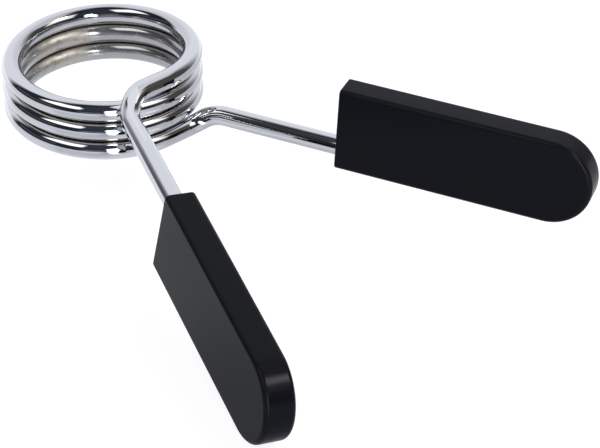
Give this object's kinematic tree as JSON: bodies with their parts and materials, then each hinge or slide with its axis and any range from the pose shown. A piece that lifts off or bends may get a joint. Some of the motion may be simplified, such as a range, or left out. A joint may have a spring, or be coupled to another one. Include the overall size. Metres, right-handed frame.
{
  "type": "barbell collar",
  "caption": "Spring clip collar for a bar sleeve: a close-wound coil of round wire whose two crossed ends carry flat moulded grips.",
  "frame": {"origin": "centre of the coil's bore, on its axis and midway between its two ends", "axes": "+Z along the coil's axis, -Y from the coil towards the grips, -X towards the grip on the upper end of the wire"},
  "size_m": [0.1303, 0.1715, 0.0473],
  "materials": {
    "spring_wire": "bright chrome plate on round spring steel wire",
    "grip_plastic": "black satin moulding with a fine grain"
  },
  "bodies": {
    "coil": {"spring_coil": "spring_wire"},
    "upper_handle": {"upper_arm": "spring_wire", "upper_grip": "grip_plastic"},
    "lower_handle": {"lower_arm": "spring_wire", "lower_grip": "grip_plastic"}
  },
  "joints": [
    {"name": "upper_squeeze", "type": "hinge", "parent": "coil", "child": "upper_handle", "pos_m": [0, 0, 0], "axis": [0, 0, 1], "range_deg": [0, 20.5], "stiffness_Nm_per_rad": 49.5, "deforming": ["spring_coil"]},
    {"name": "lower_squeeze", "type": "hinge", "parent": "coil", "child": "lower_handle", "pos_m": [0, 0, 0], "axis": [0, 0, 1], "range_deg": [-20.5, 0], "stiffness_Nm_per_rad": 49.5, "deforming": ["spring_coil"]}
  ],
  "couplings": [
    {"joint": "lower_squeeze", "follows": "upper_squeeze", "ratio": -1}
  ]
}
